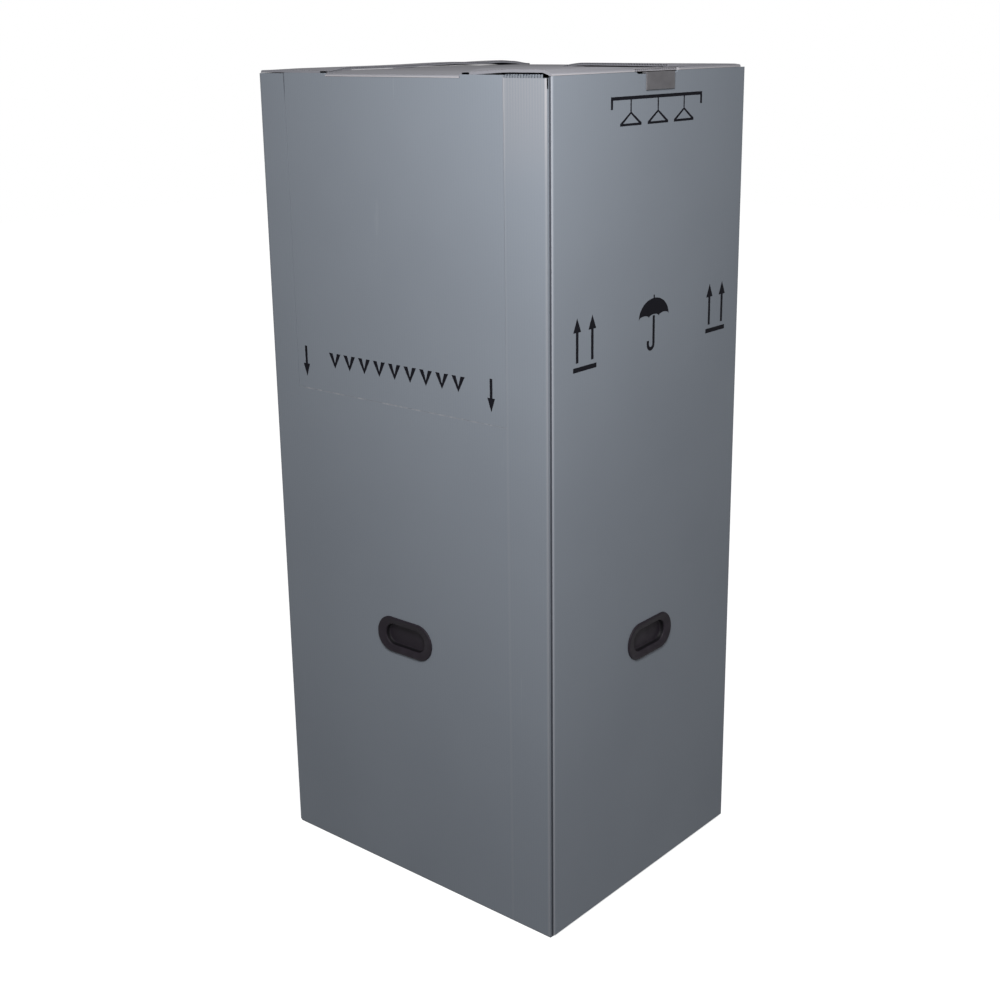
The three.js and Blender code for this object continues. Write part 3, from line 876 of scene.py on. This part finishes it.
def right_under(d, y):
    """Up towards the door, curled down at the near corner, and pressed down under the back flap."""
    near = 1 - smooth(RIGHT_REACH - NEAR_CURL, RIGHT_REACH, d) * (1 - smooth(0, CURL, y - SIDE_FRONT))
    front = 1 - smooth(FLAT_FROM, FLAT_TO, y)
    under_back = smooth(BACK_EDGE + STEP_MARGIN, BACK_EDGE + CURL, y)
    pressed = smooth(CREASE_ROUND, 2.5 * CREASE_ROUND, d) * under_back
    return SIDE_RISE * smooth(CREASE_ROUND, 4 * CREASE_ROUND, d) * near * front - PRESSED * pressed


def front_under(d, x):
    """Up from the crease, and a little more at the tip."""
    tip = smooth(0.8 * DOOR_FLAP_REACH, DOOR_FLAP_REACH, d)
    return DOOR_FLAP_RISE * smooth(BOARD, CURL, d) + TIP_RISE * tip


def back_under(d, x):
    """Low under the left flap, stepped up over the right one and sprung at its free edge."""
    under_left = smooth(-HALF_WIDTH + STEP_MARGIN, LEFT_EDGE + 10 * MM, x)
    plain = INSIDE_RISE * under_left * smooth(BOARD, CURL, d)
    over_right = smooth(RIGHT_EDGE - STEP_REACH, RIGHT_EDGE - STEP_MARGIN, x)
    outward = np.clip((x - RIGHT_EDGE) / (HALF_WIDTH - RIGHT_EDGE), 0.0, 1.0)
    far = np.clip((d - BACK_LIFT_REACH) / (BACK_REACH - BACK_LIFT_REACH), 0.0, 1.0)
    sprung = BACK_LIFT * smooth(0, BACK_LIFT_REACH, d) + (BACK_SPRING - BACK_LIFT) * far
    sprung = sprung - BACK_SAG * outward ** 2 * smooth(RISE_REACH, BACK_REACH, d)
    return plain + over_right * (sprung - plain)


def flap_mesh(name, reach, span, base, under, turn, cut=None):
    """Points are at distance d in from the crease and a along it. The outer liner drops into a quarter
    circle round the crease. Cut is (centre, half width, depth) of a notch in the root."""
    lines, cells = flute_lines(*span)
    root_open = np.zeros_like(cells)
    if cut:
        centre, half, depth = cut
        edges = [centre + side * half + step for side in (-1, 1) for step in (0, side * HAIR)]
        lines = np.unique(np.concatenate([lines, edges]))
        middles, cells = cell_columns(lines)
        root_open = cells & (np.abs(middles - centre) < half)

    def place(d, a, w):
        if cut:
            d = np.where(np.abs(a - centre) < half + HAIR / 2, np.maximum(d, depth), d)
        short = np.maximum(CREASE_ROUND - d, 0.0)
        drop = CREASE_ROUND - np.sqrt(CREASE_ROUND ** 2 - short ** 2)
        return turn(d, a, base + under(d, a) + w * (BOARD - drop))

    rows = np.concatenate([np.array([0, 0.06, 0.16, 0.32, 0.55, 0.8, 1]) * CREASE_ROUND,
                           np.linspace(CREASE_ROUND, reach, 28)[1:]])
    shell = Shell()
    sheet(shell, rows, lines, cells, place, open_root=root_open)
    return shell.mesh(name)


def from_left(d, a, z):
    return stack(-HALF_WIDTH + d, a, z)


def from_right(d, a, z):
    return stack(HALF_WIDTH - d, a, z)


def from_front(d, a, z):
    return stack(a, -HALF_DEPTH + d, z)


def from_back(d, a, z):
    return stack(a, HALF_DEPTH - d, z)


right_flap = flap_mesh("right_flap", RIGHT_REACH, (SIDE_FRONT, SIDE_BACK), RIM, right_under, from_right,
                       ROOT_CUT)
new_piece("right_flap", right_flap, flap_finish, "box")
back_span = HALF_WIDTH - BOARD - SLOT
back_flap = flap_mesh("back_flap", BACK_REACH, (-back_span, back_span), DOOR_TOP, back_under, from_back)
new_piece("back_flap", back_flap, flap_finish, "box")
left_flap = flap_mesh("left_flap", LEFT_REACH, (SIDE_FRONT, HALF_DEPTH - SLOT), RIM, left_under, from_left,
                      RAIL_RELIEF)
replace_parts(new_piece("left_flap", left_flap, flap_finish, "left_flap"), "left_top_flap")
door_flap = flap_mesh("door_flap", DOOR_FLAP_REACH, (LEFT_EDGE + BETWEEN, RIGHT_EDGE - BETWEEN),
                      DOOR_TOP + CREASE_GAP, front_under, from_front)
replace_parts(new_piece("door_flap", door_flap, flap_finish, "door_flap"), "door_top_flap")


# The hand grips
# Each is a black polypropylene moulding with a flange on the wall's face, a dished border and a shallow
# pocket. A frame is pushed over it from inside the box.
GRIP_LENGTH = 123 * MM
GRIP_TALL = 63 * MM
GRIP_PROUD = 3 * MM
GRIP_BODY = (94.2 * MM, 44.2 * MM)
GRIP_MOUTH = (88 * MM, 38 * MM)
GRIP_POCKET = 8 * MM
GRIP_BACK = 10.4 * MM
FRAME_SIZE = (118 * MM, 58 * MM)
FRAME_NEAR = 4.3 * MM
FRAME_FAR = 8.3 * MM
grip_turns = {
    "front": ((1, 0), (GRIP_X_FRONT, -HALF_DEPTH)),
    "right": ((0, 1), (HALF_WIDTH, GRIP_Y_SIDE)),
    "back": ((-1, 0), (GRIP_X_BACK, HALF_DEPTH)),
    "left": ((0, -1), (-HALF_WIDTH, GRIP_Y_SIDE)),
}


def stadium(length, tall, count=28):
    """Points round a straight-sided outline with half-circle ends, as columns x and z, closed on itself."""
    radius = np.maximum(tall, 0.0) / 2
    straight = (length - tall) / 2
    turn = np.linspace(0, math.pi, count)
    right = np.stack([straight + radius * np.sin(turn), radius * np.cos(turn)], -1)
    left = np.stack([-straight - radius * np.sin(turn), -radius * np.cos(turn)], -1)
    return np.concatenate([right, left, right[:1]])


def rounded(profile, rounds=2):
    """Cuts every inner corner of a profile at a quarter and three quarters of its sides, again and again."""
    for _ in range(rounds):
        a, b = profile[:-1], profile[1:]
        cut = np.stack([0.75 * a + 0.25 * b, 0.25 * a + 0.75 * b], 1).reshape(-1, profile.shape[1])
        profile = np.concatenate([profile[:1], cut, profile[-1:]])
    return profile


def turned_in(shell, profile, wall):
    """Rows of the profile are (length, tall, depth in from the wall's face). The outline is carried along
    them and turned to the wall."""
    (c, s), (x0, y0) = grip_turns[wall]
    rings = np.stack([stadium(length, tall) for length, tall, _ in profile])
    depth = np.broadcast_to(profile[:, 2][:, None], rings.shape[:2])
    x = x0 + c * rings[..., 0] - s * depth
    y = y0 + s * rings[..., 0] + c * depth
    points = stack(x, y, GRIP_HEIGHT + rings[..., 1])
    shell.grid(points, rings[..., 0], depth)


def grip_mesh(wall):
    """The shell, drawn from the middle of its back round the body, under and over the flange and into the
    pocket."""
    gap = 0.3 * MM
    body_length, body_tall = GRIP_BODY
    mouth_length, mouth_tall = GRIP_MOUTH
    shell = Shell()
    outside = [(body_length - body_tall, 0, GRIP_BACK), (body_length - 6 * MM, body_tall - 6 * MM, GRIP_BACK),
               (body_length, body_tall, GRIP_BACK - 2 * MM), (body_length, body_tall, -gap),
               (body_length, body_tall, -gap), (GRIP_LENGTH, GRIP_TALL, -gap), (GRIP_LENGTH, GRIP_TALL, -gap),
               (GRIP_LENGTH - 0.4 * MM, GRIP_TALL - 0.4 * MM, -1.6 * MM),
               (GRIP_LENGTH - 3 * MM, GRIP_TALL - 3 * MM, -GRIP_PROUD),
               (GRIP_LENGTH - 9 * MM, GRIP_TALL - 9 * MM, -GRIP_PROUD),
               (mouth_length + 6 * MM, mouth_tall + 6 * MM, -1.2 * MM),
               (mouth_length, mouth_tall, -0.4 * MM), (mouth_length - 1 * MM, mouth_tall - 1 * MM, 3 * MM),
               (mouth_length - 2 * MM, mouth_tall - 2 * MM, GRIP_POCKET - 1.5 * MM),
               (mouth_length - 6 * MM, mouth_tall - 6 * MM, GRIP_POCKET),
               (mouth_length - mouth_tall, 0, GRIP_POCKET)]
    turned_in(shell, rounded(np.array(outside)), wall)
    return shell.mesh("grip_" + wall, 40.0)


def grip_frame_mesh(wall):
    """A flat ring with chamfered edges, against the inside of the wall."""
    length, tall = FRAME_SIZE
    hole_length, hole_tall = GRIP_HOLE_LENGTH, GRIP_HOLE_TALL
    lip = 1 * MM
    outline = [(hole_length, hole_tall, FRAME_NEAR), (hole_length, hole_tall, FRAME_FAR - lip),
               (hole_length + lip, hole_tall + lip, FRAME_FAR), (length - 2 * lip, tall - 2 * lip, FRAME_FAR),
               (length, tall, FRAME_FAR - lip), (length, tall, FRAME_NEAR),
               (hole_length, hole_tall, FRAME_NEAR)]
    shell = Shell()
    turned_in(shell, np.array(outline), wall)
    return shell.mesh("frame_" + wall, 40.0)


def black_moulding():
    """Black moulded plastic with a fine spark-eroded grain, rubbed a little shinier and greyer in patches,
    and with painted shade on the pocket's side walls.
    """
    finish = Finish("black_moulding")
    point = finish.place()[3]
    grain = finish.noise(point, 900.0, 3.0)
    worn = finish.noise(point, 28.0, 3.0).ramp(0.45, 0.75)
    colour = finish.mix(worn * 0.5, (0.018, 0.014, 0.020), (0.034, 0.028, 0.038))
    depth = finish.attribute("down")
    # Painted shade: the pocket's side walls are coloured near black.
    pocket_shade = depth.ramp(0.4 * MM, 2.0 * MM) * depth.ramp(GRIP_POCKET - 0.4 * MM, GRIP_POCKET - 1.4 * MM)
    colour = finish.mix(pocket_shade * 0.8, colour, (0.003, 0.003, 0.004))
    rough = 0.56 - worn * 0.08 + grain * 0.06
    normal = finish.bump(grain, 0.25, 0.04 * MM)
    return finish.surface(Base_Color=colour, Roughness=rough, Normal=normal, Specular_IOR_Level=0.22)


grip_finish = black_moulding()
for wall in grip_turns:
    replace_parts(new_piece("grip_" + wall, grip_mesh(wall), grip_finish, "box"),
                "hand_grip_" + wall)
    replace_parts(new_piece("frame_" + wall, grip_frame_mesh(wall), grip_finish, "box"),
                "grip_frame_" + wall)


# The hanger rail
# Zinc-coated sheet, folded and pressed: a hook over each side wall, a leg down inside, a channel across.
RAIL_EDGE = 0.5 * MM


def rail_mesh():
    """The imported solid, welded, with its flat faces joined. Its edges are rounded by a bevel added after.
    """
    work = bmesh.new()
    work.from_mesh(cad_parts["hanger_rail"].data)
    bmesh.ops.remove_doubles(work, verts=work.verts, dist=1e-6)
    bmesh.ops.dissolve_limit(work, angle_limit=math.radians(1), verts=work.verts, edges=work.edges)
    mesh = bpy.data.meshes.new("rail")
    work.to_mesh(mesh)
    work.free()
    mesh.materials.clear()
    return mesh


def zinc_sheet():
    """Zinc-coated steel gone dull: cloudy grey spangle, drawn lines along the rail, and darker smears."""
    finish = Finish("zinc_sheet")
    point = finish.place()[3]
    spangle = finish.noise(point, 70.0, 4.0)
    drawn = finish.noise(point, 700.0, 2.0, (0.05, 1.0, 1.0))
    smear = finish.noise(point, 16.0, 3.0).ramp(0.4, 0.7)
    colour = finish.mix(spangle, (0.17, 0.165, 0.175), (0.26, 0.255, 0.27))
    colour = finish.mix(smear * 0.4, colour, (0.13, 0.125, 0.135))
    rough = 0.40 + spangle * 0.16 + smear * 0.08
    return finish.surface(Base_Color=colour, Metallic=0.55, Roughness=rough,
                          Normal=finish.bump(drawn, 0.12, 0.05 * MM))


rail = new_piece("rail", rail_mesh(), zinc_sheet(), "box")
edge = rail.modifiers.new("edge", "BEVEL")
edge.width = RAIL_EDGE
edge.segments = 2
edge.limit_method = "ANGLE"
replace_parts(rail, "hanger_rail")


# The print
# Screen-printed in near-black ink: arrows down to the sill, a rail with hangers, arrows for this way up,
# and an umbrella for keep dry. Where words or a mark stood there are plain shapes or nothing.
INK_THICK = 0.12 * MM


def prism(shell_points, shell_faces, outline, to_wall):
    """A flat outline as a closed plate, INK_THICK proud of the wall: a face in front, one behind, and a band
    round it."""
    start = sum(len(p) for p in shell_points)
    count = len(outline)
    front = to_wall(outline, INK_THICK)
    behind = to_wall(outline, -INK_THICK / 2)
    shell_points += [front, behind]
    ring = np.arange(count)
    following = np.roll(ring, -1)
    shell_faces.append(tuple((ring + start).tolist()))
    shell_faces.append(tuple((ring[::-1] + start + count).tolist()))
    band = np.stack([ring, ring + count, following + count, following], -1) + start
    shell_faces.extend(band.tolist())


def ink_piece(name, outlines, to_wall, body, material):
    """All the outlines, in millimetres on the wall, as plates in one piece that rides on the body."""
    points, faces = [], []
    for outline in outlines:
        prism(points, faces, np.array(outline, float) * MM, to_wall)
    mesh = bpy.data.meshes.new(name)
    mesh.from_pydata(np.concatenate(points), [], faces)
    work = bmesh.new()
    work.from_mesh(mesh)
    bmesh.ops.recalc_face_normals(work, faces=work.faces)
    work.to_mesh(mesh)
    work.free()
    return new_piece(name, mesh, material, body)


def on_front(outline, out):
    return stack(outline[:, 0], -HALF_DEPTH - out, outline[:, 1])


def on_right(outline, out):
    return stack(HALF_WIDTH + out, outline[:, 0], outline[:, 1])


def bar(a0, b0, a1, b1):
    """A rectangle between two corners."""
    return [(a0, b0), (a1, b0), (a1, b1), (a0, b1)]


def arrow(at, tail, neck, tip, half_head, half_shaft):
    """An upright arrow from its tail to its tip, either of which may be the higher."""
    return [(at - half_shaft, tail), (at + half_shaft, tail), (at + half_shaft, neck), (at + half_head, neck),
            (at, tip), (at - half_head, neck), (at - half_shaft, neck)]


def chevron(at, top, bottom, half, weight):
    """A V that points down."""
    return [(at - half, top), (at - half + weight, top), (at, bottom + weight), (at + half - weight, top),
            (at + half, top), (at, bottom)]


def umbrella():
    """A half-round canopy whose lower edge is three hollow arcs, with a spike and a hooked handle."""
    middle, half, edge, crown = 5.5, 40.5, 979.5, 1010.0
    dome = np.linspace(0, math.pi, 33)
    canopy = np.stack([middle + half * np.cos(dome), edge + (crown - edge) * np.sin(dome)], -1)
    scallops = []
    width = 2 * half / 3
    for i in range(3):
        turn = np.linspace(math.pi, 0, 12)[:-1]
        centre = middle - half + width * (i + 0.5)
        scallops.append(np.stack([centre + width / 2 * np.cos(turn), edge + 5.0 * np.sin(turn)], -1))
    canopy = np.concatenate([canopy, np.concatenate(scallops)[1:]])
    hook_turn = np.linspace(0, -math.pi, 18)
    hook_centre, hook_height, hook_out, hook_in = middle - 7.8, 938.0, 10.6, 4.6
    hook_ring = np.stack([np.cos(hook_turn), np.sin(hook_turn)], -1)
    outer = (hook_centre, hook_height) + hook_out * hook_ring
    inner = (hook_centre, hook_height) + hook_in * hook_ring
    handle = np.concatenate([[(middle - 3.2, edge + 3)], [(middle + 2.8, edge + 3)], outer,
                             [(hook_centre - hook_out, hook_height + 6)],
                             [(hook_centre - hook_in, hook_height + 6)], inner[::-1]])
    return [canopy, handle, bar(middle - 1.6, crown - 1, middle + 1.6, crown + 5)]


def hanger(at, top):
    """A clothes hanger in outline: two sloping bars and a foot, hung from a stem."""
    half, tall, weight = 27.0, 17.0, 3.6
    left = [(at, top), (at - half, top - tall), (at - half + 2 * weight, top - tall), (at, top - weight)]
    right = [(at, top), (at + half, top - tall), (at + half - 2 * weight, top - tall), (at, top - weight)]
    foot = bar(at - half, top - tall - weight, at + half, top - tall)
    stem = bar(at - 1.5, top - 0.5, at + 1.5, top + 17.0)
    return [left, right, foot, stem]


def ink():
    """Screen ink, a touch glossier than the board, thin in places so that it looks a little mottled."""
    finish = Finish("screen_ink")
    point = finish.place()[3]
    thin = finish.noise(point, 260.0, 3.0).ramp(0.55, 0.8)
    colour = finish.mix(thin * 0.35, (0.008, 0.008, 0.012), (0.022, 0.023, 0.029))
    return finish.surface(Base_Color=colour, Roughness=0.60 + thin * 0.1, Specular_IOR_Level=0.08)


ink_finish = ink()
# On the door: an arrow at each side down to the sill, and a row of chevrons between them
door_print = [arrow(at, 913.0, 883.0, 861.5, 7.6, 2.6) for at in (-218.5, 187.0)]
door_print += [chevron(at, 908, 883, 13.5, 8.5) for at in np.linspace(-150, 121, 9)]
ink_piece("door_print", door_print, on_front, "door", ink_finish)
# On the right wall: a rail with bent ends over three hangers, a pair of arrows with a foot at each side of
# an umbrella
side_print = [bar(-112, 1313, 128, 1318), bar(-112, 1300, -107, 1313), bar(123, 1300, 128, 1313)]
for at in (-62, 8, 78):
    side_print += hanger(at, 1296)
arrow_pairs = ((-201, -144, 930, (-191.3, -154.3)), (155, 212, 933, (164.6, 202.1)))
for left, right, foot, tips in arrow_pairs:
    side_print.append(bar(left, foot - 3.6, right, foot + 3.6))
    side_print += [arrow(tip, foot + 10, foot + 56, foot + 77.5, 9.4, 3.0) for tip in tips]
side_print += umbrella()
ink_piece("side_print", side_print, on_right, "box", ink_finish)
